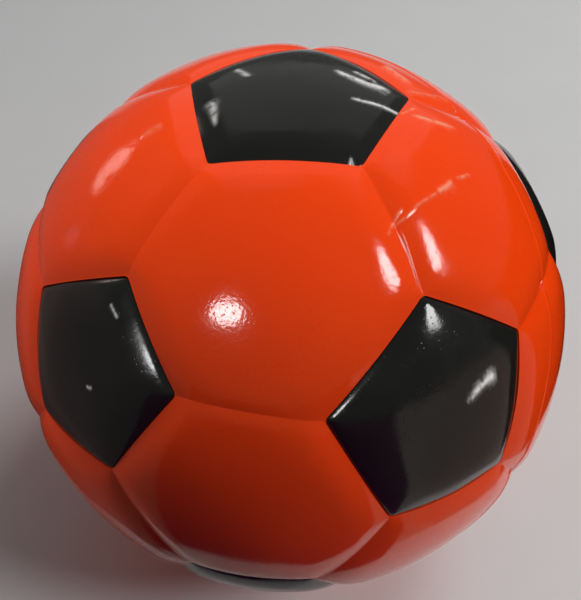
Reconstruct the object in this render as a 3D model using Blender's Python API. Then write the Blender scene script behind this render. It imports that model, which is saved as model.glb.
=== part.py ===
"""Foam play ball with a football pattern: foam core, orange skin and black pentagon panels.

The seam net is a truncated icosahedron. The pentagons sit on the twelve corners of an icosahedron that
stands on one corner, and the skin between them holds the twenty hexagons. Every panel is a low pillow that
falls to a V-shaped groove at its seams. The origin is the centre of the ball, with +Z up. Metres.
"""

import math

import bmesh
import bpy
from mathutils import Matrix, Vector

# Driving dimensions
BALL_RADIUS = 0.0500  # centre of the ball to the crown of a panel
PENTAGON_REACH = 0.0175  # middle of a pentagon to its corners, along the surface
TOP_PENTAGON_REACH = 0.0187
FRONT_LEFT_PENTAGON_REACH = 0.0161
FRONT_RIGHT_PENTAGON_REACH = 0.0180
GROOVE_DEPTH = 0.0008  # crown of a panel down to the seam line
SHOULDER_WIDTH = 0.0052  # seam line to where a panel reaches its full height
SKIN_UNDER_SEAM = 0.0012  # skin left below the seam line
PANEL_CLEARANCE = 0.0003  # between a pentagon panel and the skin around it
CORE_CLEARANCE = 0.0003  # between the skin and the foam
CONTACT_PATCH_DEPTH = 0.0005  # how far the foam gives where the ball rests
PATTERN_TURN = math.radians(12.3)  # turn of the pattern about the vertical

# Colours (linear red, green and blue) and roughness
FOAM_COLOUR = (0.78, 0.66, 0.38)
FOAM_ROUGHNESS = 0.9
ORANGE_COLOUR = (0.68, 0.058, 0.010)
ORANGE_ROUGHNESS = 0.28
BLACK_COLOUR = (0.008, 0.0075, 0.0072)
BLACK_ROUGHNESS = 0.24

# Mesh steps
EDGE_STEPS = 3  # along each side of a panel
SHOULDER_STEPS = (0.0, 0.35, 1.0)  # shares of the shoulder, from the seam line up
CROWN_STEP = 0.5  # share of the way from the shoulder to the middle of a panel
WELD_DISTANCE = 1e-6
SHARP_ANGLE = math.radians(40)

# Between the top and the base the pentagons sit in two rings, the lower one turned by half a step
UPPER_RING = ("right", "back", "left", "front_left", "front_right")
LOWER_RING = ("back_right", "back_left", "left", "front", "right")
RING_COUNT = len(UPPER_RING)
RING_STEP = 2 * math.pi / RING_COUNT
RING_LATITUDE = math.atan(1 / 2)  # of the ring corners of an icosahedron

SEAM_RADIUS = BALL_RADIUS - GROOVE_DEPTH
SKIN_INNER_RADIUS = SEAM_RADIUS - SKIN_UNDER_SEAM
CORE_RADIUS = SKIN_INNER_RADIUS - CORE_CLEARANCE
REACHES = {
    "pentagon_top": TOP_PENTAGON_REACH,
    "pentagon_upper_front_left": FRONT_LEFT_PENTAGON_REACH,
    "pentagon_upper_front_right": FRONT_RIGHT_PENTAGON_REACH,
}


def clear_scene():
    """Removes every object of the scene that is open."""
    for obj in list(bpy.data.objects):
        bpy.data.objects.remove(obj, do_unlink=True)


def make_material(name, colour, roughness):
    """A non-metallic material of one colour."""
    material = bpy.data.materials.new(name)
    material.use_nodes = True
    shader = material.node_tree.nodes["Principled BSDF"]
    shader.inputs["Base Color"].default_value = (*colour, 1.0)
    shader.inputs["Roughness"].default_value = roughness
    shader.inputs["Metallic"].default_value = 0.0
    return material


def on_ring(latitude, turn):
    """The direction at a latitude and a turn about the vertical."""
    flat = math.cos(latitude)
    return Vector((flat * math.cos(turn), flat * math.sin(turn), math.sin(latitude)))


def pentagon_centres():
    """Each pentagon's name and the direction of its middle."""
    centres = {"pentagon_top": Vector((0.0, 0.0, 1.0))}
    for step, place in enumerate(UPPER_RING):
        turn = PATTERN_TURN + step * RING_STEP
        centres["pentagon_upper_" + place] = on_ring(RING_LATITUDE, turn)
    for step, place in enumerate(LOWER_RING):
        turn = PATTERN_TURN + step * RING_STEP + RING_STEP / 2
        centres["pentagon_lower_" + place] = on_ring(-RING_LATITUDE, turn)
    centres["pentagon_base"] = Vector((0.0, 0.0, -1.0))
    return centres


def axes_at(centre, towards):
    """The rotation that takes +Z to a direction and +X towards a second one."""
    across = (towards - towards.dot(centre) * centre).normalized()
    return Matrix((across, centre.cross(across), centre)).transposed()


def neighbours_of(name, centres):
    """The names of the five nearest pentagons, anticlockwise as seen from outside."""
    centre = centres[name]
    others = [other for other in centres if other != name]
    nearest = sorted(others, key=lambda other: centre.angle(centres[other]))[:RING_COUNT]
    to_local = axes_at(centre, centres[nearest[0]]).transposed()

    def turn(other):
        local = to_local @ centres[other]
        return math.atan2(local.y, local.x)

    return sorted(nearest, key=turn)


def corner_towards(name, other, centres):
    """The corner of a pentagon that points to a neighbouring pentagon."""
    reach = REACHES.get(name, PENTAGON_REACH) / BALL_RADIUS
    return centres[name].slerp(centres[other], reach / centres[name].angle(centres[other]))


def pentagon_corners(name, centres):
    """The five corners of a pentagon, anticlockwise."""
    return [corner_towards(name, other, centres) for other in neighbours_of(name, centres)]


def hexagon_corners(names, centres):
    """The six corners of the hexagon between three pentagons that are named anticlockwise."""
    corners = []
    for step, name in enumerate(names):
        after = names[(step + 1) % len(names)]
        corners.append(corner_towards(name, after, centres))
        corners.append(corner_towards(after, name, centres))
    return corners


def hexagons(centres):
    """The corners of all twenty hexagons."""
    found = []
    order = list(centres)
    for name in order:
        around = neighbours_of(name, centres)
        for step, second in enumerate(around):
            third = around[(step + 1) % RING_COUNT]
            if order.index(name) < min(order.index(second), order.index(third)):
                found.append(hexagon_corners((name, second, third), centres))
    return found


def border_of(corners):
    """Directions along the sides of a panel, each side a great-circle arc."""
    border = []
    for step, corner in enumerate(corners):
        after = corners[(step + 1) % len(corners)]
        border += [corner.slerp(after, n / EDGE_STEPS) for n in range(EDGE_STEPS)]
    return border


def middle_of(corners):
    """The direction of the middle of a panel."""
    return sum(corners, Vector()).normalized()


def half_width(corners):
    """The distance along the surface from the middle of a panel to its nearest side."""
    middle = middle_of(corners)
    return BALL_RADIUS * min(middle.angle(point) for point in border_of(corners))


def height_at(inset):
    """The radius of a panel's surface at a distance from its seam line."""
    fall = max(0.0, 1.0 - inset / SHOULDER_WIDTH)
    return BALL_RADIUS - GROOVE_DEPTH * fall**2


def ring_at(corners, inset):
    """A panel's border drawn in towards its middle by a distance along the surface."""
    middle = middle_of(corners)
    share = inset / half_width(corners)
    return [point.slerp(middle, share) for point in border_of(corners)]


def outer_insets(corners, edge):
    """The distances from the seam line at which a panel's outside has a ring of points."""
    insets = [edge + share * (SHOULDER_WIDTH - edge) for share in SHOULDER_STEPS]
    insets.append(SHOULDER_WIDTH + CROWN_STEP * (half_width(corners) - SHOULDER_WIDTH))
    return insets


def inner_insets(corners, edge):
    """The distances from the seam line at which a panel's inside has a ring of points."""
    return [edge, edge + CROWN_STEP * (half_width(corners) - edge)]


def add_band(bm, low, high):
    """Faces between two rings of points, facing out where both run anticlockwise."""
    for step in range(len(low)):
        after = (step + 1) % len(low)
        bm.faces.new((low[step], low[after], high[after], high[step]))


def add_dome(bm, corners, insets, radius_at, facing_out=True):
    """One surface of a panel, from its edge to its middle. Returns the ring of its edge."""
    start = len(bm.faces)
    rings = []
    for inset in insets:
        radius = radius_at(inset)
        rings.append([bm.verts.new(point * radius) for point in ring_at(corners, inset)])
    for low, high in zip(rings, rings[1:]):
        add_band(bm, low, high)
    top = bm.verts.new(middle_of(corners) * radius_at(half_width(corners)))
    for step, point in enumerate(rings[-1]):
        bm.faces.new((point, rings[-1][(step + 1) % len(rings[-1])], top))
    if not facing_out:
        bm.faces.ensure_lookup_table()
        bmesh.ops.reverse_faces(bm, faces=bm.faces[start:])
    return rings[0]


def mesh_from(bm, name, material):
    """Turns the finished faces into a smooth-shaded mesh."""
    bmesh.ops.remove_doubles(bm, verts=bm.verts, dist=WELD_DISTANCE)
    bm.normal_update()
    mesh = bpy.data.meshes.new(name)
    bm.to_mesh(mesh)
    bm.free()
    mesh.shade_smooth()
    mesh.set_sharp_from_angle(angle=SHARP_ANGLE)
    mesh.materials.append(material)
    return mesh


def skin_mesh(centres, material):
    """The orange skin: twenty pillows in one shell that is open at the pentagons."""
    bm = bmesh.new()
    for corners in hexagons(centres):
        add_dome(bm, corners, outer_insets(corners, 0.0), height_at)
        bed = inner_insets(corners, 0.0)
        add_dome(bm, corners, bed, lambda inset: SKIN_INNER_RADIUS, facing_out=False)
    for name in centres:
        border = border_of(pentagon_corners(name, centres))
        outer = [bm.verts.new(point * SEAM_RADIUS) for point in border]
        inner = [bm.verts.new(point * SKIN_INNER_RADIUS) for point in border]
        add_band(bm, outer, inner)
    return mesh_from(bm, "orange_skin", material)


def upright_pentagon(reach):
    """The corners of a pentagon whose middle is at +Z and whose first corner is towards +X."""
    latitude = math.pi / 2 - reach / BALL_RADIUS
    return [on_ring(latitude, step * RING_STEP) for step in range(RING_COUNT)]


def pentagon_mesh(name, reach, material, patch_depth=0.0):
    """A black panel: a pillow on its bed of skin, cut flat at the crown to the patch depth."""
    corners = upright_pentagon(reach)
    bm = bmesh.new()
    outer = add_dome(bm, corners, outer_insets(corners, PANEL_CLEARANCE), height_at)
    bed = inner_insets(corners, PANEL_CLEARANCE)
    inner = add_dome(bm, corners, bed, lambda inset: SKIN_INNER_RADIUS, facing_out=False)
    add_band(bm, inner, outer)
    if patch_depth > 0.0:
        plane = Vector((0.0, 0.0, BALL_RADIUS - patch_depth))
        whole = bm.verts[:] + bm.edges[:] + bm.faces[:]
        cut = bmesh.ops.bisect_plane(
            bm, geom=whole, plane_co=plane, plane_no=(0.0, 0.0, 1.0), clear_outer=True
        )
        rim = [item for item in cut["geom_cut"] if isinstance(item, bmesh.types.BMEdge)]
        bmesh.ops.contextual_create(bm, geom=rim)
        bmesh.ops.recalc_face_normals(bm, faces=bm.faces)
    return mesh_from(bm, name, material)


def core_mesh(centres, material):
    """The foam inside the skin, a closed ball with the same facets as the skin's inside."""
    bm = bmesh.new()
    panels = hexagons(centres)
    panels += [pentagon_corners(name, centres) for name in centres]
    for corners in panels:
        add_dome(bm, corners, inner_insets(corners, 0.0), lambda inset: CORE_RADIUS)
    return mesh_from(bm, "foam_core", material)


def add_object(name, mesh, parent):
    """A named piece of the ball."""
    obj = bpy.data.objects.new(name, mesh)
    bpy.context.scene.collection.objects.link(obj)
    obj.parent = parent
    return obj


def main():
    """Builds the ball."""
    clear_scene()
    foam = make_material("soft_polyurethane_foam", FOAM_COLOUR, FOAM_ROUGHNESS)
    orange = make_material("orange_elastomer_coat", ORANGE_COLOUR, ORANGE_ROUGHNESS)
    black = make_material("black_elastomer_coat", BLACK_COLOUR, BLACK_ROUGHNESS)

    ball = bpy.data.objects.new("foam_ball", None)
    bpy.context.scene.collection.objects.link(ball)
    centres = pentagon_centres()
    add_object("foam_core", core_mesh(centres, foam), ball)
    add_object("orange_skin", skin_mesh(centres, orange), ball)

    meshes = {}
    for name, centre in centres.items():
        reach = REACHES.get(name, PENTAGON_REACH)
        patch_depth = CONTACT_PATCH_DEPTH if name == "pentagon_base" else 0.0
        if (reach, patch_depth) not in meshes:
            meshes[reach, patch_depth] = pentagon_mesh(name, reach, black, patch_depth)
        panel = add_object(name, meshes[reach, patch_depth], ball)
        towards = centres[neighbours_of(name, centres)[0]]
        panel.rotation_mode = "QUATERNION"
        panel.rotation_quaternion = axes_at(centre, towards).to_quaternion()


main()
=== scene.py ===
"""Foam play ball with a football pattern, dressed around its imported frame.

Fine forms take the place of the plain solids: the orange skin with its pillows, seam grooves, mould line
and creases, the twelve black panels, and the foam core that they enclose. Metres, +Z up, origin at the
middle of the ball. Azimuths run from the front (-Y) towards the right (+X).
"""

import logging
import math
from collections.abc import Callable, Sequence
from dataclasses import dataclass, field
from enum import Enum
from typing import Any, TypeVar

import bmesh
import bpy
import numpy as np
from mathutils import Matrix, Vector


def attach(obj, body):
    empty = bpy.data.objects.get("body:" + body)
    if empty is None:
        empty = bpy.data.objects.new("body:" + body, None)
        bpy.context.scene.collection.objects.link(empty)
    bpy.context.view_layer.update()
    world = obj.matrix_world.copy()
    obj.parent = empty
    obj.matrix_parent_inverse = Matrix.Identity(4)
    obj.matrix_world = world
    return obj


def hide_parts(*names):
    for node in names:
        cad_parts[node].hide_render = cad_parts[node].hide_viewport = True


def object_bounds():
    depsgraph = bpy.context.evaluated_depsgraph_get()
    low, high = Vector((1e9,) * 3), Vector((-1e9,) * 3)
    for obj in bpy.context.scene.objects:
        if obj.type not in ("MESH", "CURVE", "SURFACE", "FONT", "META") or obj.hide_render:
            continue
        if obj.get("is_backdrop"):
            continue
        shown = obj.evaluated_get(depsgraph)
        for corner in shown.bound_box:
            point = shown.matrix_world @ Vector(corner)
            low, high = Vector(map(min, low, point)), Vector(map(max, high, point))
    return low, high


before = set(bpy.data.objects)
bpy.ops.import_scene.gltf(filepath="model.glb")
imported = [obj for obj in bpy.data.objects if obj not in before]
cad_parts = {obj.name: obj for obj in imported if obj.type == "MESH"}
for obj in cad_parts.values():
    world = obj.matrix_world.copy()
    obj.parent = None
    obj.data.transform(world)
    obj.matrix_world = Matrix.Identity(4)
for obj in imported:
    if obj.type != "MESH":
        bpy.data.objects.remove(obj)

log = logging.getLogger("foam_ball")

MM = 0.001
SENSOR_LENGTH = 36.0  # millimetres along the longer side of the picture
BODY = "root"
RING_COUNT = 5
RING_STEP = 2 * math.pi / RING_COUNT
RING_LATITUDE = math.atan(1 / 2)  # of the ring corners of an icosahedron that stands on one corner
WELD = 1e-5  # on a ball of radius 1
CUT_SNAP = 4e-4  # how near to a point a cut moves onto it, on a ball of radius 1
OUTER_LEVEL = 1.0  # the outside of a skin on a ball of radius 1
INNER_LEVEL = 0.95  # the inside of a skin on a ball of radius 1
HALF_LEVEL = (OUTER_LEVEL + INNER_LEVEL) / 2
CORNER_CROWDING = 0.1  # below 1 / (2 pi), where points would meet
BED_RINGS = (0.0, 0.35, 0.7)  # rings on the inside of a panel, as shares of the way to its middle
SHARP_ANGLE = math.radians(50)  # edges that turn by more than this stay sharp
UNDERSIDE = -0.5  # height on a ball of radius 1 below which the level of the table can cut a panel
TINY = 1e-9  # keeps a division off zero
FOLD_MARGIN = 3 * MM  # how far beside a fold its faces are looked for
FOLD_REACH = 2.5  # how far a fold reaches to each side, in its widths
FOLD_FACE = 0.7  # longest edge of a face on a fold, in widths of the fold
FACE_REACH = 0.7  # how near a face has to be to be split, in lengths of its longest edge
SCUFF_GLINT_WIDENING = 1.3  # width of the pale scuffing and painted highlight on a fold, in widths of its fold
MIX_FACTOR, MIX_A, MIX_B, MIX_RESULT = 0, 6, 7, 2  # colour sockets of a Mix node

Route = tuple[tuple[float, float], ...]
Member = TypeVar("Member")


class Slot(Enum):
    """The record's material slots."""

    ORANGE = "orange_coat"
    BLACK = "black_coat"
    FOAM = "foam"


class LampShape(Enum):
    """The outline of a studio lamp."""

    ROUND = "ELLIPSE"
    LONG = "RECTANGLE"


class LampUse(Enum):
    """What a studio lamp is for."""

    ALL = "light and highlights"
    FILL = "light alone"
    FLAGGED_FILL = "light alone, kept off the table"
    CATCH = "highlights alone"


class CardUse(Enum):
    """What a felt card is for."""

    GLOSS = "shows in the gloss alone"
    SHADE = "keeps soft light off alone"


def direction(azimuth: float, elevation: float) -> Vector:
    """A unit direction.

    Args:
        azimuth: degrees from the front towards the right.
        elevation: degrees above the horizon.

    Returns:
        The direction.
    """
    turn = math.radians(azimuth)
    rise = math.radians(elevation)
    return Vector((math.sin(turn) * math.cos(rise), -math.cos(turn) * math.cos(rise), math.sin(rise)))


def linear(code: str) -> tuple[float, float, float, float]:
    """A linear colour from an sRGB hex value.

    Args:
        code: a value such as "#E44814".

    Returns:
        Linear red, green and blue, and an alpha of 1.
    """
    parts = [int(code[start : start + 2], 16) / 255 for start in (1, 3, 5)]
    red, green, blue = (
        part / 12.92 if part <= 0.04045 else ((part + 0.055) / 1.055) ** 2.4 for part in parts
    )
    return red, green, blue, 1.0


def per_mm(size: float) -> float:
    """The scale that gives a pattern cells of a size in millimetres."""
    return 1 / (size * MM)


def around(ring: Sequence[Member]) -> list[tuple[Member, Member]]:
    """Each member of a ring with the one after it."""
    return list(zip(ring, [*ring[1:], ring[0]]))


def add_node(
    tree: bpy.types.NodeTree, kind: str, inputs: dict[str | int, Any] | None = None, **settings: Any
) -> bpy.types.Node:
    """Adds a node with its settings and its inputs.

    Args:
        tree: the node tree.
        kind: the node's type.
        inputs: a value or an output socket for each input.
        settings: the node's own options.

    Returns:
        The node.
    """
    node = tree.nodes.new(kind)
    for option, value in settings.items():
        setattr(node, option, value)
    for socket, value in (inputs or {}).items():
        if isinstance(value, bpy.types.NodeSocket):
            tree.links.new(value, node.inputs[socket])
        else:
            node.inputs[socket].default_value = value
    return node


def new_material(name: str) -> tuple[bpy.types.Material, bpy.types.NodeTree, bpy.types.Node]:
    """A material with its node tree and its shader.

    Args:
        name: the material's name.

    Returns:
        The material, its tree and its Principled shader.
    """
    material = bpy.data.materials.new(name)
    material.use_nodes = True
    tree = material.node_tree
    return material, tree, tree.nodes["Principled BSDF"]


@dataclass(frozen=True)
class GlossCoat:
    """Polyurethane elastomer coat, sprayed into the mould: a gloss with fine pores and peel."""

    name: str
    colour: str
    deep: str
    # pale colour along the folds: partly scuffs, partly a painted highlight
    scuff_glint_colour: str
    smooth: float  # roughness where the coat is clean
    rubbed: float  # roughness where it is handled
    pore_spacing: float  # the sizes are millimetres
    pore_radius: float
    pore_depth: float
    pore_gloss: float  # gloss that is left in a pore, as a share of the coat's
    peel_size: float
    peel_height: float
    cloud_size: float
    smear_size: float
    flake_size: float = 1.2
    flake_range: tuple[float, float] = (0.28, 0.52)  # noise levels from bare coat to full scuffing and painted highlight
    smear_range: tuple[float, float] = (0.35, 0.7)  # noise levels from clean to handled
    smear_pull: float = 0.6  # how far the smears are drawn out
    cloud_detail: float = 3.0  # the details are the finer layers of a noise
    flake_detail: float = 3.0
    smear_detail: float = 5.0
    peel_detail: float = 2.0
    pore_floor: float = 0.5  # flat bottom of a pore, as a share of its radius
    ior: float = 1.5
    specular: float = 0.5

    def make(self) -> bpy.types.Material:
        """Builds the material.

        Returns:
            The material.
        """
        # The colour is clouded a little and paled along the folds, partly as scuffing and partly as a
        # painted highlight; the gloss is uneven from handling, and the dull pores break the highlights up
        # into grains
        material, tree, shader = new_material(self.name)
        place = add_node(tree, "ShaderNodeTexCoord").outputs["Object"]
        pores = self.pores(tree, place)
        shine = add_node(
            tree,
            "ShaderNodeMapRange",
            {"Value": pores, "To Min": self.pore_gloss * self.specular, "To Max": self.specular},
        )
        tree.links.new(self.worn_and_glint_colour(tree, place), shader.inputs["Base Color"])
        tree.links.new(self.handled_gloss(tree, place), shader.inputs["Roughness"])
        tree.links.new(self.relief(tree, place, pores), shader.inputs["Normal"])
        tree.links.new(shine.outputs["Result"], shader.inputs["Specular IOR Level"])
        shader.inputs["IOR"].default_value = self.ior
        return material

    def worn_and_glint_colour(self, tree: bpy.types.NodeTree, place: bpy.types.NodeSocket) -> bpy.types.NodeSocket:
        """Clouds the colour, and pales it in flakes along the folds, as scuffs and as a painted highlight.

        Args:
            tree: the material's node tree.
            place: the output for the place on the piece.

        Returns:
            The output for the colour.
        """
        cloud = add_node(
            tree,
            "ShaderNodeTexNoise",
            {"Vector": place, "Scale": per_mm(self.cloud_size), "Detail": self.cloud_detail},
        )
        body = add_node(
            tree,
            "ShaderNodeMix",
            {MIX_FACTOR: cloud.outputs["Fac"], MIX_A: linear(self.deep), MIX_B: linear(self.colour)},
            data_type="RGBA",
        )
        # How pale each fold is, which is partly scuffing and partly a painted highlight
        scuff_and_glint = add_node(tree, "ShaderNodeAttribute", attribute_name="scuff_and_glint").outputs["Fac"]
        flake = add_node(
            tree,
            "ShaderNodeTexNoise",
            {"Vector": place, "Scale": per_mm(self.flake_size), "Detail": self.flake_detail},
        )
        bare, full = self.flake_range
        patch = add_node(
            tree, "ShaderNodeMapRange", {"Value": flake.outputs["Fac"], "From Min": bare, "From Max": full}
        )
        scuff_glint_share = add_node(
            tree, "ShaderNodeMath", {0: scuff_and_glint, 1: patch.outputs["Result"]}, operation="MULTIPLY"
        )
        worn_and_glint = add_node(
            tree,
            "ShaderNodeMix",
            {MIX_FACTOR: scuff_glint_share.outputs[0], MIX_A: body.outputs[MIX_RESULT], MIX_B: linear(self.scuff_glint_colour)},
            data_type="RGBA",
        )
        return worn_and_glint.outputs[MIX_RESULT]

    def handled_gloss(self, tree: bpy.types.NodeTree, place: bpy.types.NodeSocket) -> bpy.types.NodeSocket:
        """Smears the gloss, as handling does.

        Args:
            tree: the material's node tree.
            place: the output for the place on the piece.

        Returns:
            The output for the roughness.
        """
        smear = add_node(
            tree,
            "ShaderNodeTexNoise",
            {
                "Vector": place,
                "Scale": per_mm(self.smear_size),
                "Detail": self.smear_detail,
                "Distortion": self.smear_pull,
            },
        )
        clean, handled = self.smear_range
        gloss = add_node(
            tree,
            "ShaderNodeMapRange",
            {
                "Value": smear.outputs["Fac"],
                "From Min": clean,
                "From Max": handled,
                "To Min": self.smooth,
                "To Max": self.rubbed,
            },
        )
        return gloss.outputs["Result"]

    def pores(self, tree: bpy.types.NodeTree, place: bpy.types.NodeSocket) -> bpy.types.NodeSocket:
        """Spreads the pores over the coat.

        Args:
            tree: the material's node tree.
            place: the output for the place on the piece.

        Returns:
            The output for the height, from 0 in the bottom of a pore to 1 between the pores.
        """
        cell = add_node(
            tree, "ShaderNodeTexVoronoi", {"Vector": place, "Scale": per_mm(self.pore_spacing)}
        )
        share = self.pore_radius / self.pore_spacing
        pore = add_node(
            tree,
            "ShaderNodeMapRange",
            {"Value": cell.outputs["Distance"], "From Min": self.pore_floor * share, "From Max": share},
            interpolation_type="SMOOTHSTEP",
        )
        return pore.outputs["Result"]

    def relief(
        self, tree: bpy.types.NodeTree, place: bpy.types.NodeSocket, pores: bpy.types.NodeSocket
    ) -> bpy.types.NodeSocket:
        """Waves the coat with its peel, and sinks the pores into it.

        Args:
            tree: the material's node tree.
            place: the output for the place on the piece.
            pores: the output for the height of the pores.

        Returns:
            The output for the normal.
        """
        peel = add_node(
            tree,
            "ShaderNodeTexNoise",
            {"Vector": place, "Scale": per_mm(self.peel_size), "Detail": self.peel_detail},
        )
        waves = add_node(
            tree, "ShaderNodeBump", {"Distance": self.peel_height * MM, "Height": peel.outputs["Fac"]}
        )
        sunk = add_node(
            tree,
            "ShaderNodeBump",
            {"Distance": self.pore_depth * MM, "Height": pores, "Normal": waves.outputs["Normal"]},
        )
        return sunk.outputs["Normal"]


ORANGE_COAT = GlossCoat(
    name="orange_polyurethane_moulded_coat",
    colour="#FA480C",
    deep="#F54009",
    # Pale orange for the folds: scuffing, and a painted highlight
    scuff_glint_colour="#FFB08C",
    smooth=0.08,
    rubbed=0.13,
    pore_spacing=0.65,
    pore_radius=0.18,
    pore_depth=0.003,
    pore_gloss=0.0,
    peel_size=0.5,
    peel_height=0.014,
    cloud_size=16.0,
    smear_size=9.0,
)
BLACK_COAT = GlossCoat(
    name="black_polyurethane_moulded_coat",
    colour="#1E1F1C",
    deep="#161614",
    # Near white for the folds: scuffing, and a painted highlight
    scuff_glint_colour="#F2F1EE",
    smooth=0.11,
    rubbed=0.24,
    pore_spacing=0.65,
    pore_radius=0.16,
    pore_depth=0.01,
    pore_gloss=0.9,
    peel_size=0.6,
    peel_height=0.012,
    cloud_size=9.0,
    smear_size=6.0,
)


@dataclass(frozen=True)
class SoftFoam:
    """Soft polyurethane foam, cast in the skin: a matt pale yellow of open cells."""

    name: str = "soft_polyurethane_foam"
    wall: str = "#E9D9A4"
    # painted shade in the hollows of the cells
    cell: str = "#B79F63"
    cell_size: float = 1.2  # millimetres, about twice the real cells, so that they show
    cell_depth: float = 0.4  # millimetres
    roughness: float = 0.92

    def make(self) -> bpy.types.Material:
        """Builds the material.

        Returns:
            The material.
        """
        # Open cells give a dull sponge: pale walls around hollows that are darkened with painted shade
        material, tree, shader = new_material(self.name)
        place = add_node(tree, "ShaderNodeTexCoord").outputs["Object"]
        cells = add_node(
            tree, "ShaderNodeTexVoronoi", {"Vector": place, "Scale": per_mm(self.cell_size)}
        )
        colour = add_node(
            tree,
            "ShaderNodeMix",
            {MIX_FACTOR: cells.outputs["Distance"], MIX_A: linear(self.cell), MIX_B: linear(self.wall)},
            data_type="RGBA",
        )
        hollows = add_node(
            tree,
            "ShaderNodeBump",
            {"Distance": self.cell_depth * MM, "Height": cells.outputs["Distance"]},
        )
        tree.links.new(colour.outputs[MIX_RESULT], shader.inputs["Base Color"])
        tree.links.new(hollows.outputs["Normal"], shader.inputs["Normal"])
        shader.inputs["Roughness"].default_value = self.roughness
        return material


@dataclass(frozen=True)
class PaleTable:
    """Painted board, rolled: a plain pale matt top."""

    name: str = "painted_board"
    colour: str = "#EBEBEB"
    shade: str = "#E6E6E5"
    mottle_size: float = 25.0  # millimetres
    mottle_detail: float = 4.0  # finer layers of the mottle
    roughness: float = 0.6

    def make(self) -> bpy.types.Material:
        """Builds the material.

        Returns:
            The material.
        """
        # An even pale grey, with only the faint mottle that a roller leaves
        material, tree, shader = new_material(self.name)
        place = add_node(tree, "ShaderNodeTexCoord").outputs["Object"]
        mottle = add_node(
            tree,
            "ShaderNodeTexNoise",
            {"Vector": place, "Scale": per_mm(self.mottle_size), "Detail": self.mottle_detail},
        )
        colour = add_node(
            tree,
            "ShaderNodeMix",
            {MIX_FACTOR: mottle.outputs["Fac"], MIX_A: linear(self.shade), MIX_B: linear(self.colour)},
            data_type="RGBA",
        )
        tree.links.new(colour.outputs[MIX_RESULT], shader.inputs["Base Color"])
        shader.inputs["Roughness"].default_value = self.roughness
        return material


@dataclass(frozen=True)
class WoolFelt:
    """Wool felt, milled from loose fibre: a dull nap without gloss."""

    name: str
    fibre: str
    gap: str
    nap_size: float = 0.6  # millimetres, coarser than the fibres, so that it shows
    roughness: float = 0.95

    def make(self) -> bpy.types.Material:
        """Builds the material.

        Returns:
            The material.
        """
        # The nap is a fine mottle of two near shades
        material, tree, shader = new_material(self.name)
        place = add_node(tree, "ShaderNodeTexCoord").outputs["Object"]
        nap = add_node(tree, "ShaderNodeTexNoise", {"Vector": place, "Scale": per_mm(self.nap_size)})
        colour = add_node(
            tree,
            "ShaderNodeMix",
            {MIX_FACTOR: nap.outputs["Fac"], MIX_A: linear(self.gap), MIX_B: linear(self.fibre)},
            data_type="RGBA",
        )
        tree.links.new(colour.outputs[MIX_RESULT], shader.inputs["Base Color"])
        shader.inputs["Roughness"].default_value = self.roughness
        shader.inputs["Specular IOR Level"].default_value = 0.0
        return material


BLACK_FELT = WoolFelt("black_wool_felt", fibre="#0C0C0C", gap="#050505")
CHARCOAL_FELT = WoolFelt("charcoal_wool_felt", fibre="#484848", gap="#3E3E3E")
PALE_FELT = WoolFelt("undyed_wool_felt", fibre="#D6D4CE", gap="#C4C1BA")
GREY_FELT = WoolFelt("grey_wool_felt", fibre="#8E8E8E", gap="#7C7C7C")
PLUM_FELT = WoolFelt("plum_wool_felt", fibre="#6E1A66", gap="#5E1456")


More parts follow.
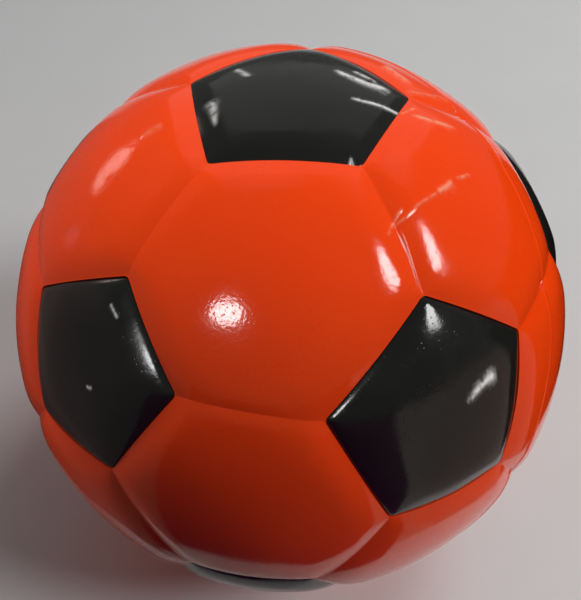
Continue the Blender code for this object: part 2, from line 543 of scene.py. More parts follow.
@dataclass
class SeamNet:
    """The football pattern: twelve pentagons, and the twenty hexagons between them."""

    radius: float
    turn: float = math.radians(12.3)
    reach: float = 17.5 * MM  # middle of a pentagon to its corners, along the surface
    own_reaches: dict[str, float] = field(
        default_factory=lambda: {
            "top": 18.7 * MM,
            "upper_front_left": 16.1 * MM,
            "upper_front_right": 18.0 * MM,
        }
    )
    upper_ring: tuple[str, ...] = ("right", "back", "left", "front_left", "front_right")
    lower_ring: tuple[str, ...] = ("back_right", "back_left", "left", "front", "right")
    moulded_corners: dict[tuple[str, str], tuple[float, float]] = field(
        default_factory=lambda: {
            ("top", "upper_front_left"): (-38.9, 67.4),
            ("top", "upper_front_right"): (30.9, 69.2),
            ("top", "upper_right"): (99.4, 69.5),
            ("top", "upper_left"): (-108.0, 69.4),
            ("upper_front_left", "upper_front_right"): (-20.6, 32.0),
            ("upper_front_left", "top"): (-39.8, 45.8),
            ("upper_front_left", "upper_left"): (-63.0, 31.1),
            ("upper_front_left", "lower_left"): (-51.9, 10.2),
            ("upper_front_left", "lower_front"): (-31.5, 12.0),
            ("upper_front_right", "top"): (30.9, 46.9),
            ("upper_front_right", "upper_front_left"): (6.5, 31.1),
            ("upper_front_right", "lower_front"): (18.0, 9.4),
            ("upper_front_right", "lower_right"): (42.3, 8.5),
            ("upper_front_right", "upper_right"): (52.1, 32.1),
        }
    )  # azimuths and elevations of corners where the moulding strays from the even pattern
    seam_lifts: dict[frozenset[str], float] = field(
        default_factory=lambda: {
            frozenset(("upper_front_left", "upper_front_right")): 2.6 * MM,
            frozenset(("top", "upper_front_left")): 1.6 * MM,
        }
    )  # how far up its shoulders a seam between two hexagons is filled with coat
    corner_radius: float = 0.9 * MM
    half_corner: float = math.radians(54)  # half the angle at a pentagon's corner
    centres: dict[str, Vector] = field(init=False)

    def __post_init__(self) -> None:
        """Places the middles of the pentagons."""
        self.centres = {"top": Vector((0.0, 0.0, 1.0))}
        for step, place in enumerate(self.upper_ring):
            self.centres["upper_" + place] = self.on_ring(RING_LATITUDE, step)
        for step, place in enumerate(self.lower_ring):
            self.centres["lower_" + place] = self.on_ring(-RING_LATITUDE, step + 0.5)
        self.centres["base"] = Vector((0.0, 0.0, -1.0))

    def on_ring(self, latitude: float, step: float) -> Vector:
        """The direction of a pentagon on a ring.

        Args:
            latitude: the ring's latitude in radians.
            step: the pentagon's place on the ring, in steps.

        Returns:
            The direction.
        """
        turn = self.turn + step * RING_STEP
        flat = math.cos(latitude)
        return Vector((flat * math.cos(turn), flat * math.sin(turn), math.sin(latitude)))

    def neighbours(self, place: str) -> list[str]:
        """The five nearest pentagons.

        Args:
            place: a pentagon's place.

        Returns:
            The places, anticlockwise as seen from outside.
        """
        centre = self.centres[place]
        others = [other for other in self.centres if other != place]
        nearest = sorted(others, key=lambda other: centre.angle(self.centres[other]))[:RING_COUNT]
        first = self.centres[nearest[0]]
        across = (first - first.dot(centre) * centre).normalized()
        along = centre.cross(across)

        def turn(other: str) -> float:
            """The turn of a pentagon about this one."""
            return math.atan2(self.centres[other].dot(along), self.centres[other].dot(across))

        return sorted(nearest, key=turn)

    def corner(self, place: str, other: str) -> Vector:
        """The corner of a pentagon that points to a neighbouring one.

        Args:
            place: the pentagon's place.
            other: the neighbour's place.

        Returns:
            The corner's direction.
        """
        if (place, other) in self.moulded_corners:
            return direction(*self.moulded_corners[place, other])
        reach = self.own_reaches.get(place, self.reach) / self.radius
        start, end = self.centres[place], self.centres[other]
        return start.slerp(end, reach / start.angle(end))

    def pentagon(self, place: str) -> list[Vector]:
        """The five corners of a pentagon, anticlockwise."""
        return [self.corner(place, other) for other in self.neighbours(place)]

    def trios(self) -> list[tuple[str, str, str]]:
        """Finds the hexagons, each between three pentagons.

        Returns:
            The places of the three pentagons, anticlockwise.
        """
        found = []
        order = list(self.centres)
        for first in order:
            for second, third in around(self.neighbours(first)):
                if order.index(first) < min(order.index(second), order.index(third)):
                    found.append((first, second, third))
        return found

    def hexagon(self, trio: tuple[str, str, str]) -> list[Vector]:
        """The six corners of the hexagon between three pentagons, anticlockwise."""
        pairs = around(trio)
        return [corner for pair in pairs for corner in (self.corner(*pair), self.corner(*pair[::-1]))]

    def lifts(self, trio: tuple[str, str, str]) -> list[float]:
        """How far the seam on each side of a hexagon is filled."""
        pairs = around(trio)
        return [lift for pair in pairs for lift in (self.seam_lifts.get(frozenset(pair), 0.0), 0.0)]

    def blunted(self, points: np.ndarray) -> np.ndarray:
        """Draws the surface around each corner of a pentagon in, so that the corner becomes round.

        Args:
            points: unit directions.

        Returns:
            The moved unit directions.
        """
        fillet = self.corner_radius / self.radius
        rise, run = math.sin(self.half_corner), math.cos(self.half_corner)
        moved = points.copy()
        for place, centre in self.centres.items():
            for corner in self.pentagon(place):
                inward = np.array((centre - centre.dot(corner) * corner).normalized())
                far = np.linalg.norm(points - np.array(corner), axis=1)
                near = far < fillet * run / rise
                reach = far[near]
                shift = fillet / rise - np.sqrt(fillet**2 - (reach * rise) ** 2) - reach * run
                moved[near] += shift[:, None] * inward
        return moved / np.linalg.norm(moved, axis=1, keepdims=True)


@dataclass(frozen=True)
class Pillow:
    """The form of a panel: a crown that falls over a rounded shoulder to the seam."""

    depth: float  # crown down to the seam line
    shoulder: float  # seam line to the full height
    corner_round: float  # how far the shoulders round into each other at a corner
    swell: float = 0.0  # how far the crown stands above the ball's radius
    bevel_depth: float = 0.0  # of the steep rim beside the seam
    bevel_width: float = 1.0 * MM
    blend_share: float = 0.8  # widest rounding, as a share of the distance from the seam

    def inset(
        self, points: np.ndarray, corners: Sequence[Vector], radius: float, lifts: Sequence[float] = (0.0,)
    ) -> np.ndarray:
        """The distance of points from the nearest side of a panel, rounded at the corners.

        Args:
            points: unit directions.
            corners: the panel's corners, anticlockwise.
            radius: the ball's radius.
            lifts: how far the seam on each side is filled, or one value for all sides.

        Returns:
            The distances, negative outside the panel.
        """
        sides = np.array([corner.cross(after).normalized() for corner, after in around(corners)])
        off = radius * np.arcsin(np.clip(points @ sides.T, -1.0, 1.0))
        outside = off.min(axis=1) < -WELD * radius
        far = np.sort(off + np.array(lifts), axis=1)
        # A smooth minimum of the distances from the two nearest sides
        nearest, second = far[:, 0], far[:, 1]
        blend = np.minimum(self.corner_round, self.blend_share * np.maximum(nearest, 0.0)) + TINY
        overlap = np.maximum(blend - (second - nearest), 0.0) / blend
        return np.where(outside, -1.0, nearest - overlap**2 * blend / 4)

    def level(self, inset: np.ndarray, radius: float) -> np.ndarray:
        """The radius of a panel's surface.

        Args:
            inset: distances from the panel's seam.
            radius: the ball's radius.

        Returns:
            The radius at each distance.
        """
        shoulder = self.depth * np.clip(1.0 - inset / self.shoulder, 0.0, 1.0) ** 2
        rim = self.bevel_depth * np.clip(1.0 - inset / self.bevel_width, 0.0, 1.0) ** 2
        return radius + self.swell - (shoulder + rim)


PLAIN_PILLOW = Pillow(depth=0.8 * MM, shoulder=5.2 * MM, corner_round=4.0 * MM)
# Fuller than the solids, so that the highlights on the two front panels lie where they should
FULL_PILLOW = Pillow(
    depth=1.2 * MM, shoulder=6.5 * MM, corner_round=4.0 * MM, swell=0.4 * MM, bevel_depth=0.25 * MM
)


@dataclass(frozen=True)
class Crease:
    """A fine fold that stands up from the skin along a line."""

    route: Route  # azimuths and elevations
    width: float
    height: float
    scuff_and_glint: float = 0.0  # how pale the coat is along the fold, as scuffing and as a painted highlight
    spread: float = 1.0  # width at the end of the route, as a share of the width at its start
    run_out: float = 1 / 6  # share of the route over which each end fades

    def follow(self, points: np.ndarray, radius: float) -> tuple[np.ndarray, np.ndarray]:
        """Finds where points lie beside the fold.

        Args:
            points: unit directions.
            radius: the ball's radius.

        Returns:
            The distances from the fold, and how far along it the nearest places are, from 0 to 1.
        """
        line = np.array([direction(*place) for place in self.route])
        best = np.full(len(points), np.inf)
        along = np.zeros(len(points))
        steps = len(line) - 1
        for step in range(steps):
            run = line[step + 1] - line[step]
            share = np.clip((points - line[step]) @ run / (run @ run), 0.0, 1.0)
            gap = radius * np.linalg.norm(points - line[step] - share[:, None] * run, axis=1)
            along = np.where(gap < best, (step + share) / steps, along)
            best = np.minimum(gap, best)
        return best, along

    def strength(self, points: np.ndarray, radius: float, widening: float = 1.0) -> np.ndarray:
        """How near points are to the fold.

        Args:
            points: unit directions.
            radius: the ball's radius.
            widening: how much wider than the fold to look.

        Returns:
            1 on the fold, falling to 0 beside it and at its ends.
        """
        gap, along = self.follow(points, radius)
        width = widening * self.width * (1 + (self.spread - 1) * along)
        taper = np.clip(np.minimum(along, 1 - along) / self.run_out, 0.0, 1.0)
        return taper * np.exp(-((gap / width) ** 2))

    def rise(self, points: np.ndarray, radius: float) -> np.ndarray:
        """How far the fold lifts the skin at points."""
        return self.height * self.strength(points, radius)

    def near(self, points: np.ndarray, radius: float, reach: float | np.ndarray) -> np.ndarray:
        """Which points lie within reach of the fold."""
        return self.follow(points, radius)[0] < reach


@dataclass(frozen=True)
class MouldLine:
    """The fine flash where the two halves of the mould met, with a pit where it crosses each open seam."""

    axis: Vector
    width: float = 0.22 * MM
    height: float = 0.14 * MM
    pit_radius: float = 0.55 * MM
    pit_depth: float = 0.7 * MM
    cut_places: tuple[float, ...] = (-0.5, -0.25, 0.0, 0.25, 0.5)  # edge loops, millimetres beside the line

    def rise(self, points: np.ndarray, inset: np.ndarray, radius: float) -> np.ndarray:
        """How far the flash lifts the skin, and the pits sink it.

        Args:
            points: unit directions.
            inset: distances of the points from the nearest seam.
            radius: the ball's radius.

        Returns:
            The rise at each point.
        """
        off = radius * np.arcsin(np.clip(points @ np.array(self.axis), -1.0, 1.0))
        flash = self.height * np.exp(-((off / self.width) ** 2))
        pit = np.exp(-(off**2 + inset**2) / self.pit_radius**2)
        return flash - self.pit_depth * pit


@dataclass(frozen=True)
class Unevenness:
    """The waves of a soft moulding, which is never a true sphere: slow ones, with finer ones upon them."""

    height: float = 0.05 * MM  # of the slowest waves
    length: float = 22 * MM  # of the slowest waves
    octaves: int = 3  # each with waves half as long as the one before
    fading: float = 0.35  # height of each octave, as a share of the one before
    count: int = 9  # waves in an octave
    seed: int = 7

    def rise(self, points: np.ndarray, radius: float) -> np.ndarray:
        """How far the waves lift the skin.

        Args:
            points: unit directions.
            radius: the ball's radius.

        Returns:
            The rise at each point.
        """
        rng = np.random.default_rng(self.seed)
        total = np.zeros(len(points))
        for octave in range(self.octaves):
            turns = 2 * math.pi * radius * 2**octave / self.length
            for _ in range(self.count):
                heading = rng.normal(size=3)
                heading /= np.linalg.norm(heading)
                phase = rng.uniform(0, 2 * math.pi)
                total += self.fading**octave * np.sin(turns * (points @ heading) + phase)
        return self.height * total / math.sqrt(self.count)


def along_side(start: Vector, end: Vector, share: float) -> Vector:
    """A point on the side of a panel, where the points lie closer at the corners."""
    return start.slerp(end, share - CORNER_CROWDING * math.sin(2 * math.pi * share))


def lay_panel(bm: bmesh.types.BMesh, corners: Sequence[Vector], rows: int, crowding: float = 1.6) -> None:
    """Lays the outside of a panel on a ball of radius 1, with its rows crowded towards the seam.

    Args:
        bm: the mesh to add to.
        corners: the panel's corners, anticlockwise.
        rows: rows from the middle to the seam.
        crowding: how much closer the rows lie at the seam.
    """
    middle = sum(corners, Vector()).normalized()
    for corner, after in around(corners):
        grid = []
        for row in range(rows + 1):
            share = 1 - (1 - row / rows) ** crowding
            rim = [along_side(corner, after, step / max(row, 1)) for step in range(row + 1)]
            grid.append([bm.verts.new(middle.slerp(point, share)) for point in rim])
        for low, high in zip(grid, grid[1:]):
            for step, point in enumerate(low):
                bm.faces.new((point, high[step], high[step + 1]))
            for step in range(len(low) - 1):
                bm.faces.new((low[step], high[step + 1], low[step + 1]))


def border(corners: Sequence[Vector], rows: int, level: float) -> list[Vector]:
    """Points along the sides of a panel, anticlockwise, at a level."""
    pairs = around(corners)
    return [level * along_side(*pair, step / rows) for pair in pairs for step in range(rows)]


def lay_band(bm: bmesh.types.BMesh, low: Sequence[Vector], high: Sequence[Vector]) -> None:
    """Lays a band of faces between two rings with as many points each.

    Args:
        bm: the mesh to add to.
        low: the ring that the faces start from.
        high: the ring that they reach to, in the same order.
    """
    lower = [bm.verts.new(point) for point in low]
    upper = [bm.verts.new(point) for point in high]
    for (start, end), (far_start, far_end) in zip(around(lower), around(upper)):
        bm.faces.new((start, end, far_end, far_start))


def lay_bed(bm: bmesh.types.BMesh, corners: Sequence[Vector], rows: int) -> None:
    """Lays the inside of a panel, facing in.

    Args:
        bm: the mesh to add to.
        corners: the panel's corners, anticlockwise.
        rows: points along each side, as on the outside.
    """
    middle = sum(corners, Vector()).normalized()
    rim = border(corners, rows, OUTER_LEVEL)
    rings = [[INNER_LEVEL * point.slerp(middle, share) for point in rim] for share in BED_RINGS]
    for low, high in zip(rings, rings[1:]):
        lay_band(bm, high, low)
    tip = bm.verts.new(INNER_LEVEL * middle)
    last = [bm.verts.new(point) for point in rings[-1]]
    for point, after in around(last):
        bm.faces.new((after, point, tip))


def outside_faces(verts: set[bmesh.types.BMVert]) -> list[bmesh.types.BMFace]:
    """The faces of the outside that meet at points."""
    faces = {face for vert in verts for face in vert.link_faces}
    return [face for face in faces if all(vert.co.length > HALF_LEVEL for vert in face.verts)]


def close_pick(picked: set[bmesh.types.BMEdge]) -> set[bmesh.types.BMEdge]:
    """Adds the third edge of each triangle that has two picked ones, until none is left.

    Args:
        picked: the edges picked so far.

    Returns:
        The edges with those that were added.
    """
    fresh = picked
    while fresh:
        faces = {face for edge in fresh for face in edge.link_faces if len(face.verts) == 3}
        halves = [face for face in faces if sum(edge in picked for edge in face.edges) == 2]
        fresh = {edge for face in halves for edge in face.edges} - picked
        picked = picked | fresh
    return picked


def refine(bm: bmesh.types.BMesh, creases: Sequence[Crease], radius: float, passes: int = 4) -> None:
    """Splits the faces along the creases until the folds can be modelled.

    Args:
        bm: the mesh, on a ball of radius 1.
        creases: the folds.
        radius: the ball's radius.
        passes: how often a face may be split in four.
    """
    for crease in creases:
        points = np.array([vert.co.normalized() for vert in bm.verts])
        close = crease.near(points, radius, crease.width + FOLD_MARGIN)
        verts = {vert for vert, wanted in zip(bm.verts, close) if wanted and vert.co.length > HALF_LEVEL}
        bmesh.ops.triangulate(bm, faces=outside_faces(verts))
        for _ in range(passes):
            faces = outside_faces(verts)
            middles = np.array([face.calc_center_median().normalized() for face in faces])
            sizes = radius * np.array([max(edge.calc_length() for edge in face.edges) for face in faces])
            near = crease.near(middles, radius, np.maximum(FOLD_REACH * crease.width, FACE_REACH * sizes))
            coarse = near & (sizes > FOLD_FACE * crease.width)
            wide = [face for face, wanted in zip(faces, coarse) if wanted]
            if not wide:
                break
            picked = close_pick({edge for face in wide for edge in face.edges})
            split = bmesh.ops.subdivide_edges(
                bm, edges=list(picked), cuts=1, use_grid_fill=True, use_single_edge=True
            )
            verts.update(part for part in split["geom"] if isinstance(part, bmesh.types.BMVert))
            verts = {vert for vert in verts if vert.is_valid}
    bmesh.ops.triangulate(bm, faces=[face for face in bm.faces if len(face.verts) > 4])


def set_levels(
    bm: bmesh.types.BMesh, net: SeamNet, outside: Callable[[np.ndarray], np.ndarray], inside: float
) -> None:
    """Moves the points of a skin from the ball of radius 1 to their real places.

    Args:
        bm: the mesh.
        net: the seams, whose corners are rounded.
        outside: gives the heights of the outside from unit directions.
        inside: the radius of the inside.
    """
    verts = list(bm.verts)
    points = np.array([vert.co.normalized() for vert in verts])
    outer = np.array([vert.co.length > HALF_LEVEL for vert in verts])
    levels = np.full(len(verts), inside)
    levels[outer] = outside(points[outer])
    for vert, place in zip(verts, net.blunted(points) * levels[:, None]):
        vert.co = place


def to_object(bm: bmesh.types.BMesh, name: str) -> bpy.types.Object:
    """Turns a finished mesh into a smooth object of the scene.

    Args:
        bm: the mesh, which is freed.
        name: the piece's name.

    Returns:
        The object.
    """
    mesh = bpy.data.meshes.new(name)
    bm.normal_update()
    bm.to_mesh(mesh)
    bm.free()
    mesh.shade_smooth()
    mesh.set_sharp_from_angle(angle=SHARP_ANGLE)
    obj = bpy.data.objects.new(name, mesh)
    bpy.context.scene.collection.objects.link(obj)
    return obj


def mark_scuffs_and_glints(obj: bpy.types.Object, creases: Sequence[Crease], radius: float) -> None:
    """Writes how pale the coat is along its creases to the mesh: scuffs, and painted highlights.

    Args:
        obj: the piece.
        creases: its folds.
        radius: the ball's radius.
    """
    points = np.array([vert.co.normalized() for vert in obj.data.vertices])
    pale = np.zeros(len(points))
    for crease in creases:
        pale = np.maximum(pale, crease.scuff_and_glint * crease.strength(points, radius, SCUFF_GLINT_WIDENING))
    obj.data.attributes.new("scuff_and_glint", "FLOAT", "POINT").data.foreach_set("value", pale.astype(np.float32))


def set_in_frame(obj: bpy.types.Object, finish: bpy.types.Material, node: str) -> None:
    """Gives a piece its finish and its place in the frame.

    Args:
        obj: the piece.
        finish: its material.
        node: the solid that it stands for.
    """
    obj.data.materials.append(finish)
    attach(obj, BODY)
    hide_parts(node)
    log.info("%s stands for %s: %d faces", obj.name, node, len(obj.data.polygons))


@dataclass
class OrangeSkin:
    """The closed orange skin: twenty hexagon pillows in one moulding, open at the pentagons."""

    net: SeamNet
    inner_radius: float
    form: Pillow = PLAIN_PILLOW
    waves: Unevenness = Unevenness()
    rows: int = 26
    seam_flash: float = 0.04 * MM  # thin web of coat in the bottom of a seam
    seam_flash_width: float = 0.08 * MM
    # The pale marks on these folds are partly scuffs and partly painted highlights
    creases: tuple[Crease, ...] = (
        Crease(
            ((26.9, 57.0), (29.5, 58.2), (33.1, 59.6), (35.9, 60.3)),
            width=0.16 * MM,
            height=0.07 * MM,
            scuff_and_glint=0.45,
        ),
        Crease(
            ((30.1, 58.1), (35.2, 58.8), (40.8, 59.6), (46.8, 59.6), (52.0, 59.4)),
            width=0.14 * MM,
            height=0.06 * MM,
            scuff_and_glint=0.3,
            spread=1.4,
        ),
        Crease(
            ((50.0, 59.5), (52.0, 59.4), (55.3, 59.2), (59.3, 59.1)),
            width=0.32 * MM,
            height=0.10 * MM,
            scuff_and_glint=0.6,
        ),
        Crease(((60.4, 59.0), (63.9, 58.1), (67.6, 57.2)), width=0.2 * MM, height=0.08 * MM, scuff_and_glint=0.5),
        Crease(
            ((32.0, 57.3), (31.6, 55.0), (31.2, 52.7), (30.8, 50.2), (30.5, 47.7)),
            width=0.13 * MM,
            height=0.16 * MM,
            scuff_and_glint=0.35,
        ),
        Crease(
            ((131.5, 68.8), (125.2, 68.9), (118.7, 68.6), (111.6, 67.5)),
            width=0.6 * MM,
            height=0.14 * MM,
            scuff_and_glint=0.4,
        ),
        Crease(
            ((104.7, 70.1), (105.1, 67.5), (106.3, 64.5), (107.4, 61.9), (107.5, 59.5)),
            width=0.35 * MM,
            height=0.12 * MM,
            scuff_and_glint=0.3,
        ),
        Crease(((79.2, 72.0), (84.3, 70.6), (89.9, 69.2)), width=0.2 * MM, height=0.08 * MM, scuff_and_glint=0.4),
        Crease(
            ((80.6, 70.2), (81.2, 68.3), (82.0, 66.8), (84.2, 64.2), (86.4, 61.2)),
            width=0.35 * MM,
            height=0.12 * MM,
            scuff_and_glint=0.6,
        ),
        Crease(((102.7, 58.6), (98.4, 59.3), (94.5, 59.8)), width=0.2 * MM, height=0.08 * MM, scuff_and_glint=0.6),
        Crease(((-77.6, 50.4), (-70.1, 52.9), (-64.9, 55.1)), width=0.8 * MM, height=0.03 * MM),
        Crease(((-77.9, 57.5), (-71.6, 59.0), (-66.5, 60.9)), width=0.8 * MM, height=0.03 * MM),
        Crease(
            ((-73.3, 61.9), (-73.1, 64.2), (-73.3, 66.5)), width=0.6 * MM, height=0.06 * MM, scuff_and_glint=0.2
        ),
    )

    def mould_line(self) -> MouldLine:
        """The mould line, a great circle about the middle of the front left panel."""
        return MouldLine(self.net.centres["upper_front_left"])

    def heights(self, points: np.ndarray) -> np.ndarray:
        """The radius of the outside.

        Args:
            points: unit directions.

        Returns:
            The radius at each point.
        """
        net = self.net
        radius = net.radius
        panels = [
            self.form.inset(points, net.hexagon(trio), radius, net.lifts(trio)) for trio in net.trios()
        ]
        inset = np.maximum(np.max(panels, axis=0), 0.0)
        level = self.form.level(inset, radius) + self.waves.rise(points, radius)
        level += self.seam_flash * np.exp(-((inset / self.seam_flash_width) ** 2))
        level += self.mould_line().rise(points, inset, radius)
        for crease in self.creases:
            level += crease.rise(points, radius)
        return level

    def cut_mould_line(self, bm: bmesh.types.BMesh) -> None:
        """Adds edge loops along the mould line, for its fine flash.

        Args:
            bm: the skin's mesh, on a ball of radius 1.
        """
        line = self.mould_line()
        for place in line.cut_places:
            faces = [face for face in bm.faces if face.calc_center_median().length > HALF_LEVEL]
            parts = {part for face in faces for part in (*face.verts, *face.edges)}
            bmesh.ops.bisect_plane(
                bm,
                geom=[*parts, *faces],
                dist=CUT_SNAP,
                plane_co=line.axis * (place * MM / self.net.radius),
                plane_no=line.axis,
            )

    def build(self) -> bpy.types.Object:
        """Builds the skin.

        Returns:
            The skin's object.
        """
        bm = bmesh.new()
        for trio in self.net.trios():
            corners = self.net.hexagon(trio)
            lay_panel(bm, corners, self.rows)
            lay_bed(bm, corners, self.rows)
        for place in self.net.centres:
            corners = self.net.pentagon(place)
            lay_band(bm, border(corners, self.rows, OUTER_LEVEL), border(corners, self.rows, INNER_LEVEL))
        bmesh.ops.remove_doubles(bm, verts=bm.verts, dist=WELD)
        self.cut_mould_line(bm)
        refine(bm, self.creases, self.net.radius)
        set_levels(bm, self.net, self.heights, self.inner_radius)
        skin = to_object(bm, "moulded_orange_skin")
        mark_scuffs_and_glints(skin, self.creases, self.net.radius)
        return skin

    def dress(self, skin: bpy.types.Object, coat: bpy.types.Material) -> None:
        """Gives the skin its coat and its place in the frame."""
        set_in_frame(skin, coat, "orange_skin")


@dataclass
class BlackPanel:
    """One black pentagon: a pillow on the foam, in its window of the orange skin."""

    net: SeamNet
    place: str
    inner_radius: float
    rest_level: float  # height of the surface that the ball rests on
    form: Pillow = PLAIN_PILLOW
    waves: Unevenness = Unevenness(height=0.04 * MM, length=14 * MM, fading=0.45, seed=11)
    edge_gap: float = 0.03 * MM  # between the panel and its window
    rows: int = 24
    creases: tuple[Crease, ...] = ()

    def heights(self, points: np.ndarray) -> np.ndarray:
        """The radius of the outside, cut flat where the ball rests.

        Args:
            points: unit directions.

        Returns:
            The radius at each point.
        """
        radius = self.net.radius
        inset = np.maximum(self.form.inset(points, self.corners(), radius), 0.0)
        level = self.form.level(inset, radius) + self.waves.rise(points, radius)
        for crease in self.creases:
            level += crease.rise(points, radius)
        down = np.minimum(points[:, 2], UNDERSIDE)
        return np.minimum(level, self.rest_level / down)

    def corners(self) -> list[Vector]:
        """The panel's own corners, a hair inside its window.

        Returns:
            The corners, anticlockwise.
        """
        centre = self.net.centres[self.place]
        back = self.edge_gap / math.cos(RING_STEP / 2) / self.net.radius
        return [
            corner.slerp(centre, back / corner.angle(centre)) for corner in self.net.pentagon(self.place)
        ]

    def build(self) -> bpy.types.Object:
        """Builds the panel.

        Returns:
            The panel's object.
        """
        corners = self.corners()
        bm = bmesh.new()
        lay_panel(bm, corners, self.rows)
        lay_bed(bm, corners, self.rows)
        lay_band(bm, border(corners, self.rows, INNER_LEVEL), border(corners, self.rows, OUTER_LEVEL))
        bmesh.ops.remove_doubles(bm, verts=bm.verts, dist=WELD)
        refine(bm, self.creases, self.net.radius)
        set_levels(bm, self.net, self.heights, self.inner_radius)
        panel = to_object(bm, "black_panel_" + self.place)
        mark_scuffs_and_glints(panel, self.creases, self.net.radius)
        return panel

    def dress(self, panel: bpy.types.Object, coat: bpy.types.Material) -> None:
        """Gives the panel its coat and its place in the frame."""
        set_in_frame(panel, coat, "pentagon_" + self.place)


PANEL_FORMS = {"upper_front_left": FULL_PILLOW, "upper_front_right": FULL_PILLOW}
# The pale marks on these folds are partly scuffs and partly painted highlights
PANEL_CREASES = {
    "upper_front_right": (
        Crease(
            ((31.5, 44.9), (35.1, 43.0), (39.3, 40.6), (43.5, 37.5)), width=0.35 * MM, height=0.05 * MM
        ),
        Crease(
            ((33.0, 28.1), (34.6, 29.0), (36.9, 29.8), (39.0, 30.1), (41.2, 29.9)),
            width=0.25 * MM,
            height=0.12 * MM,
            scuff_and_glint=1.0,
            spread=2.6,
        ),
    ),
    "upper_front_left": (
        Crease(
            ((-39.9, 40.8), (-38.2, 40.1), (-36.5, 39.4)), width=0.16 * MM, height=0.05 * MM, scuff_and_glint=0.6
        ),
        Crease(
            ((-38.4, 26.5), (-37.4, 26.6), (-37.0, 27.1)), width=0.18 * MM, height=0.06 * MM, scuff_and_glint=0.7
        ),
    ),
    "top": (
        Crease(
            ((132.7, 81.8), (117.8, 81.3), (106.8, 79.8), (99.9, 77.8), (97.6, 75.4), (93.7, 73.9)),
            width=0.35 * MM,
            height=0.14 * MM,
            scuff_and_glint=0.8,
            spread=2.0,
        ),
        Crease(
            ((122.6, 78.9), (111.6, 77.3), (103.6, 75.9)), width=0.35 * MM, height=0.12 * MM, scuff_and_glint=0.6
        ),
        Crease(
            ((67.6, 80.7), (70.5, 78.7), (74.0, 76.4), (76.9, 73.7), (79.5, 71.4)),
            width=0.22 * MM,
            height=0.10 * MM,
            scuff_and_glint=0.9,
        ),
        Crease(
            ((-77.4, 75.1), (-64.7, 74.8), (-51.2, 73.2)),
            width=0.7 * MM,
            height=0.10 * MM,
            scuff_and_glint=0.5,
            spread=0.25,
        ),
        Crease(
            ((-118.4, 77.5), (-111.9, 79.8), (-103.7, 81.6)), width=0.35 * MM, height=0.08 * MM, scuff_and_glint=0.5
        ),
        Crease(((25.1, 69.9), (27.7, 71.0), (27.3, 69.7)), width=0.14 * MM, height=0.06 * MM, scuff_and_glint=0.5),
    ),
}


@dataclass
class FoamCore:
    """The soft foam that fills the skin."""

    net: SeamNet
    radius: float
    rows: int = 10
    waves: Unevenness = Unevenness(height=0.06 * MM, length=9 * MM, octaves=1, seed=3)
    slack: float = 2.0  # how far the foam stays below its solid, in heights of its waves

    def heights(self, points: np.ndarray) -> np.ndarray:
        """The radius of the foam, which waves a little below that of its solid."""
        return self.radius - self.waves.height * self.slack + self.waves.rise(points, self.radius)

    def build(self) -> bpy.types.Object:
        """Builds the foam.

        Returns:
            The core's object.
        """
        bm = bmesh.new()
        panels = [self.net.hexagon(trio) for trio in self.net.trios()]
        panels += [self.net.pentagon(place) for place in self.net.centres]
        for corners in panels:
            lay_panel(bm, corners, self.rows, crowding=1.0)
        bmesh.ops.remove_doubles(bm, verts=bm.verts, dist=WELD)
        set_levels(bm, self.net, self.heights, self.radius)
        return to_object(bm, "soft_foam_core")

    def dress(self, core: bpy.types.Object, foam: bpy.types.Material) -> None:
        """Gives the core its foam and its place in the frame, as padding."""
        set_in_frame(core, foam, "foam_core")


@dataclass(frozen=True)
class Lamp:
    """A soft studio lamp that shines at the ball."""

    name: str
    towards: tuple[float, float]  # azimuth and elevation seen from the ball
    level: float  # how bright a white card at the ball becomes
    size: tuple[float, float]
    distance: float = 1.2
    colour: str = "#FFFFFF"
    shape: LampShape = LampShape.ROUND
    long_axis: tuple[float, float, float] = (1.0, 0.0, 0.0)
    use: LampUse = LampUse.ALL

    def build(self) -> bpy.types.Object:
        """Builds the lamp.

        Returns:
            The lamp's object.
        """
        data = bpy.data.lights.new(self.name, "AREA")
        data.shape = self.shape.value
        data.size, data.size_y = self.size
        data.color = linear(self.colour)[:3]
        data.energy = self.level * math.pi**2 * self.distance**2
        lamp = bpy.data.objects.new(self.name, data)
        outward = direction(*self.towards)
        axis = Vector(self.long_axis)
        across = (axis - axis.dot(outward) * outward).normalized()
        turn = Matrix((across, outward.cross(across), outward)).transposed()
        lamp.matrix_world = Matrix.Translation(outward * self.distance) @ turn.to_4x4()
        lamp.visible_camera = False
        lamp.visible_glossy = self.use not in (LampUse.FILL, LampUse.FLAGGED_FILL)
        lamp.visible_diffuse = self.use is not LampUse.CATCH
        bpy.context.scene.collection.objects.link(lamp)
        return lamp


@dataclass(frozen=True)
class Card:
    """A felt card that stands around a part of the ball."""

    name: str
    turn: tuple[float, float]  # azimuths of its ends
    top: float  # above the middle of the ball
    felt: WoolFelt
    radius: float = 0.064
    use: CardUse = CardUse.GLOSS
    steps: int = 24

    def build(self, floor_level: float) -> bpy.types.Object:
        """Builds the card.

        Args:
            floor_level: where it stands.

        Returns:
            The card's object.
        """
        bm = bmesh.new()
        first, last = self.turn
        turns = [first + (last - first) * step / self.steps for step in range(self.steps + 1)]
        rows = [
            [bm.verts.new(self.radius * direction(turn, 0.0) + Vector((0.0, 0.0, level))) for turn in turns]
            for level in (floor_level, self.top)
        ]
        for step in range(self.steps):
            bm.faces.new((rows[0][step], rows[0][step + 1], rows[1][step + 1], rows[1][step]))
        card = to_object(bm, self.name)
        card.data.materials.append(self.felt.make())
        card.visible_camera = False
        card.visible_shadow = False
        card.visible_glossy = self.use is CardUse.GLOSS
        card.visible_diffuse = self.use is CardUse.SHADE
        card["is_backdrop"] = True
        return card


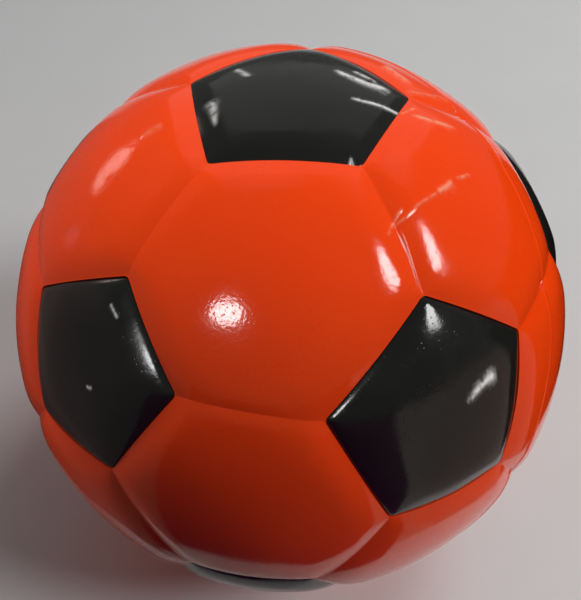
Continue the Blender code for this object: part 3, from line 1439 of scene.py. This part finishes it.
@dataclass
class Studio:
    """A plain pale table in soft light, and the camera."""

    floor_level: float
    floor_radius: float = 1.5
    floor_sides: int = 96
    ambient: float = 0.13
    backdrop: str = "#CFCFCF"
    lamps: tuple[Lamp, ...] = (
        Lamp(
            "key_lamp",
            towards=(71.7, 44.5),
            level=0.38,
            size=(0.42, 0.31),
            long_axis=(0.41, -0.66, -0.63),
        ),
        Lamp("front_catch_lamp", towards=(-31.9, 41.9), level=0.2, size=(0.26, 0.19), use=LampUse.CATCH),
        Lamp(
            "side_catch_lamp",
            towards=(-126.2, 16.7),
            level=0.028,
            size=(0.35, 0.15),
            colour="#FFE4DA",
            long_axis=(0.16, 0.15, 0.14),
            use=LampUse.CATCH,
        ),
        Lamp("back_softbox", towards=(175.0, 38.0), level=0.075, size=(1.4, 1.05), shape=LampShape.LONG),
        Lamp(
            "back_softbox_middle",
            towards=(175.0, 38.0),
            level=0.046,
            size=(1.15, 0.8),
            shape=LampShape.LONG,
        ),
        Lamp(
            "back_softbox_core",
            towards=(175.0, 38.0),
            level=0.026,
            size=(0.9, 0.57),
            shape=LampShape.LONG,
        ),
        Lamp(
            "right_fill",
            towards=(132.0, 57.0),
            level=0.27,
            size=(0.35, 0.35),
            distance=0.8,
            use=LampUse.FILL,
        ),
        Lamp(
            "right_low_fill",
            towards=(75.0, 2.0),
            level=0.09,
            size=(0.1, 0.1),
            distance=0.5,
            use=LampUse.FLAGGED_FILL,
        ),
        Lamp(
            "top_fill",
            towards=(-150.0, 70.0),
            level=0.285,
            size=(0.2, 0.2),
            distance=0.4,
            use=LampUse.FLAGGED_FILL,
        ),
        Lamp(
            "left_fill",
            towards=(-118.0, 40.0),
            level=0.16,
            size=(0.35, 0.35),
            distance=0.8,
            use=LampUse.FLAGGED_FILL,
        ),
        Lamp(
            "left_low_fill",
            towards=(-108.0, 6.0),
            level=0.25,
            size=(0.1, 0.1),
            distance=0.8,
            use=LampUse.FLAGGED_FILL,
        ),
    )
    cards: tuple[Card, ...] = (
        Card("front_card", turn=(-36.0, 26.0), top=0.03, felt=PLUM_FELT, radius=0.072),
        Card(
            "front_flag",
            turn=(-36.0, 26.0),
            top=0.03,
            felt=CHARCOAL_FELT,
            radius=0.073,
            use=CardUse.SHADE,
        ),
        Card("left_card", turn=(-130.0, -28.0), top=0.045, felt=GREY_FELT),
        Card("right_card", turn=(20.0, 73.0), top=0.03, felt=PALE_FELT, radius=0.085),
        Card("right_flag", turn=(73.0, 125.0), top=0.04, felt=BLACK_FELT, radius=0.085),
    )
    eye_towards: tuple[float, float] = (-0.05, 47.21)  # azimuth and elevation seen from the ball
    eye_distance: float = 140.54 * MM  # from the middle of the ball
    eye_tilt: float = math.radians(44.006)  # up from straight down
    eye_roll: float = math.radians(1.78)  # anticlockwise, seen from behind the camera
    lens: float = 43.26  # millimetres

    def build_floor(self) -> bpy.types.Object:
        """Builds the table top.

        Returns:
            The table's object.
        """
        bm = bmesh.new()
        bmesh.ops.create_circle(bm, cap_ends=True, segments=self.floor_sides, radius=self.floor_radius)
        bmesh.ops.translate(bm, verts=bm.verts, vec=(0.0, 0.0, self.floor_level))
        table = to_object(bm, "table_top")
        table.data.materials.append(PaleTable().make())
        table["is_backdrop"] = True
        return table

    def build_world(self) -> bpy.types.World:
        """Builds the soft light of the room, and a pale backdrop for the camera.

        Returns:
            The world.
        """
        world = bpy.data.worlds.new("soft_studio")
        world.use_nodes = True
        tree = world.node_tree
        tree.nodes.clear()
        light = add_node(tree, "ShaderNodeBackground", {"Strength": self.ambient})
        wall = add_node(tree, "ShaderNodeBackground", {"Color": linear(self.backdrop), "Strength": 1.0})
        path = add_node(tree, "ShaderNodeLightPath")
        both = add_node(
            tree,
            "ShaderNodeMixShader",
            {0: path.outputs["Is Camera Ray"], 1: light.outputs[0], 2: wall.outputs[0]},
        )
        add_node(tree, "ShaderNodeOutputWorld", {"Surface": both.outputs[0]})
        bpy.context.scene.world = world
        return world

    def build_camera(self) -> bpy.types.Object:
        """Builds the camera.

        Returns:
            The camera's object.
        """
        data = bpy.data.cameras.new("camera")
        data.sensor_width = SENSOR_LENGTH
        data.lens = self.lens
        data.clip_start = 1 * MM
        camera = bpy.data.objects.new("camera", data)
        place = Matrix.Translation(direction(*self.eye_towards) * self.eye_distance)
        turn = Matrix.Rotation(self.eye_tilt, 4, "X") @ Matrix.Rotation(self.eye_roll, 4, "Z")
        camera.matrix_world = place @ turn
        bpy.context.scene.collection.objects.link(camera)
        bpy.context.scene.camera = camera
        return camera

    def build(self) -> None:
        """Builds the studio."""
        # The flagged lamps light everything but the table
        flagged = bpy.data.collections.new("kept_off_by_flags")
        flagged.objects.link(self.build_floor())
        flagged.collection_objects[0].light_linking.link_state = "EXCLUDE"
        for card in self.cards:
            card.build(self.floor_level)
        self.build_world()
        for lamp in self.lamps:
            made = lamp.build()
            if lamp.use is LampUse.FLAGGED_FILL:
                made.light_linking.receiver_collection = flagged
        self.build_camera()
        bpy.context.scene.view_settings.view_transform = "Standard"
        log.info("studio with %d lamps and %d cards", len(self.lamps), len(self.cards))


def corner_lists(box: Any) -> list[list[float]]:
    """A box as plain lists of numbers."""
    return [[float(value) for value in corner] for corner in box]


def reaches(node: str) -> list[float]:
    """The distances of a solid's points from the middle of the ball."""
    return [vert.co.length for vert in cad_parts[node].data.vertices]


def main() -> None:
    """Builds the ball and the studio around it."""
    logging.basicConfig(level=logging.INFO, format="%(name)s: %(message)s")
    solid_box = corner_lists(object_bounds())
    net = SeamNet(radius=max(reaches("orange_skin")))
    inner_radius = min(reaches("orange_skin"))
    core_radius = max(reaches("foam_core"))
    rest_level = solid_box[0][2]

    Studio(floor_level=rest_level).build()

    orange = ORANGE_COAT.make()
    black = BLACK_COAT.make()
    skin = OrangeSkin(net, inner_radius)
    skin.dress(skin.build(), orange)
    for place in net.centres:
        creases = PANEL_CREASES.get(place, ())
        form = PANEL_FORMS.get(place, PLAIN_PILLOW)
        panel = BlackPanel(net, place, inner_radius, rest_level, form, creases=creases)
        panel.dress(panel.build(), black)
    core = FoamCore(net, core_radius)
    core.dress(core.build(), SoftFoam().make())


if __name__ == "__main__":
    main()
